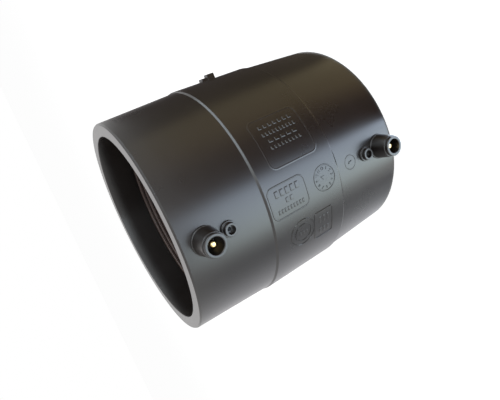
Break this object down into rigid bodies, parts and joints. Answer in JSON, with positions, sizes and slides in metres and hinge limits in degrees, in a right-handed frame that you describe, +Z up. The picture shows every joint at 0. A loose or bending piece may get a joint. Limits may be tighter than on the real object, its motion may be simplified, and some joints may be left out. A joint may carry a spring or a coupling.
{
  "type": "electrofusion coupler",
  "caption": "Black polyethylene electrofusion coupler: a socket at each end with a heating wire in its wall, shrouded terminals and fusion indicators, for joining plastic pipe.",
  "frame": {"origin": "on the bore axis at mid length, where the two pipe ends meet; the lower mouth face it stands on is half its length below", "axes": "+Z up the bore axis out of the upper mouth, -Y the way the terminals stand out, +X the way the injection gate stub stands out"},
  "size_m": [0.1535, 0.1605, 0.161],
  "materials": {
    "black_polyethylene": "satin, as moulded",
    "coated_wire": "dark plastic coat over resistance wire",
    "terminal_brass": "turned, bright",
    "indicator_plastic": "satin"
  },
  "bodies": {
    "root": {"body": "black_polyethylene", "heating_wire": "coated_wire", "lower_terminal_pin": "terminal_brass", "upper_terminal_pin": "terminal_brass", "lower_fusion_indicator": "indicator_plastic", "upper_fusion_indicator": "indicator_plastic"}
  },
  "joints": []
}
